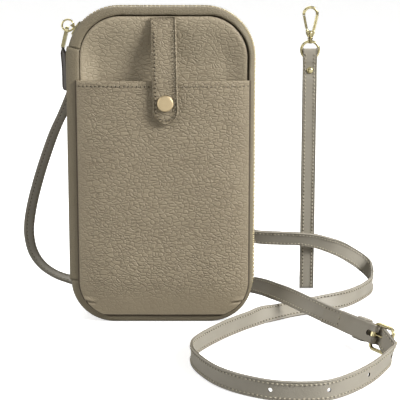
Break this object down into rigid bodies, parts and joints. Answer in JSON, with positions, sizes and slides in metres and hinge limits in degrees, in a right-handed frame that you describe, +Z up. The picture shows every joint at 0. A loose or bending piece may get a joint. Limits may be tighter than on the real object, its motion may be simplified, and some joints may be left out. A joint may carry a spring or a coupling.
{
  "type": "phone pouch",
  "caption": "Slim zip-around leather phone pouch with a front slip pocket, snap tab, buckled crossbody strap on D-rings and a separate wrist strap with a swivel snap hook.",
  "frame": {"origin": "bottom centre of the pouch, on the surface that it stands on", "axes": "+X to the right seen from the front, +Y to the back, +Z up; the slip pocket and the snap tab face -Y"},
  "size_m": [0.2353, 0.2205, 0.1984],
  "materials": {
    "leather": "fine pebbled grain, low sheen",
    "strap_leather": "smooth, low sheen, folded and stitched edges",
    "pull_leather": "smooth, dark edges",
    "lining": "woven, matt",
    "board": "plain stiffening board",
    "zip_tape": "woven tape",
    "gold_metal": "polished, light gold"
  },
  "bodies": {
    "pouch": {"back_panel": "leather", "back_board": "board", "back_lining": "lining", "card_slot_1": "leather", "card_slot_2": "leather", "card_slot_3": "leather", "back_gusset": "leather", "spine_gusset": "leather", "back_zip_tape": "zip_tape", "back_zip_teeth": "gold_metal", "zip_stops": "gold_metal", "dring_tabs": "leather", "d_rings": "gold_metal", "strap_ends": "strap_leather", "strap_end_rivets": "gold_metal", "buckle_strap": "strap_leather", "buckle_fold": "strap_leather", "strap_keeper": "strap_leather", "buckle_frame": "gold_metal", "holed_strap_back": "strap_leather", "holed_strap_front": "strap_leather", "strap_tip": "strap_leather"},
    "front_cover": {"front_panel": "leather", "front_board": "board", "front_lining": "lining", "front_gusset": "leather", "front_zip_tape": "zip_tape", "front_zip_teeth": "gold_metal", "pocket_panel": "leather", "pocket_lining": "lining", "pocket_hem": "leather", "snap_stud": "gold_metal"},
    "snap_tab": {"tab_leather": "leather", "tab_backing": "leather", "snap_cap": "gold_metal", "snap_socket": "gold_metal"},
    "slider": {"zip_slider": "gold_metal"},
    "slider_ring": {"pull_ring": "gold_metal"},
    "zip_pull": {"pull_clasp": "gold_metal", "pull_leather": "pull_leather"},
    "prong": {"buckle_prong": "gold_metal"},
    "wrist_strap": {"wrist_leather": "strap_leather", "wrist_rivet": "gold_metal", "wrist_ring": "gold_metal", "swivel_post": "gold_metal"},
    "snap_hook": {"hook_body": "gold_metal", "gate_pivot": "gold_metal"},
    "gate": {"hook_gate": "gold_metal"}
  },
  "joints": [
    {"name": "cover_hinge", "type": "hinge", "parent": "pouch", "child": "front_cover", "pos_m": [-0.0572, -0.0152, 0.098], "axis": [0, 0, -1], "range_deg": [0, 100], "deforming": ["holed_strap_front"]},
    {"name": "tab_hinge", "type": "hinge", "parent": "front_cover", "child": "snap_tab", "pos_m": [0.0018, -0.0163, 0.1912], "axis": [-0.9997, 0, -0.0244], "range_deg": [0, 150]},
    {"name": "slider_travel", "type": "hinge", "parent": "pouch", "child": "slider", "pos_m": [-0.026, 0, 0.167], "axis": [0, 1, 0], "range_deg": [0, 44]},
    {"name": "ring_swing", "type": "hinge", "parent": "slider", "child": "slider_ring", "pos_m": [-0.05535, 0, 0.18606], "axis": [0, 1, 0], "range_deg": [0, 60]},
    {"name": "pull_swing", "type": "hinge", "parent": "slider_ring", "child": "zip_pull", "pos_m": [-0.05765, 0, 0.18597], "axis": [0, 1, 0], "range_deg": [0, 60]},
    {"name": "prong_hinge", "type": "hinge", "parent": "pouch", "child": "prong", "pos_m": [0.1243, -0.0754, 0.0125], "axis": [0.29, 0.1812, 0.9397], "range_deg": [0, 4]},
    {"name": "wrist_strap_lift", "type": "slide", "parent": "pouch", "child": "wrist_strap", "axis": [0, 0, 1], "range_m": [0, 0.1]},
    {"name": "hook_swivel", "type": "hinge", "parent": "wrist_strap", "child": "snap_hook", "pos_m": [0.098, 0.06, 0.177], "axis": [0, 0, 1], "continuous": true},
    {"name": "gate_hinge", "type": "hinge", "parent": "snap_hook", "child": "gate", "pos_m": [0.09544, 0.06, 0.1804], "axis": [0, 1, 0], "range_deg": [0, 28], "stiffness_Nm_per_rad": 0.002, "springref_deg": -17.19}
  ]
}
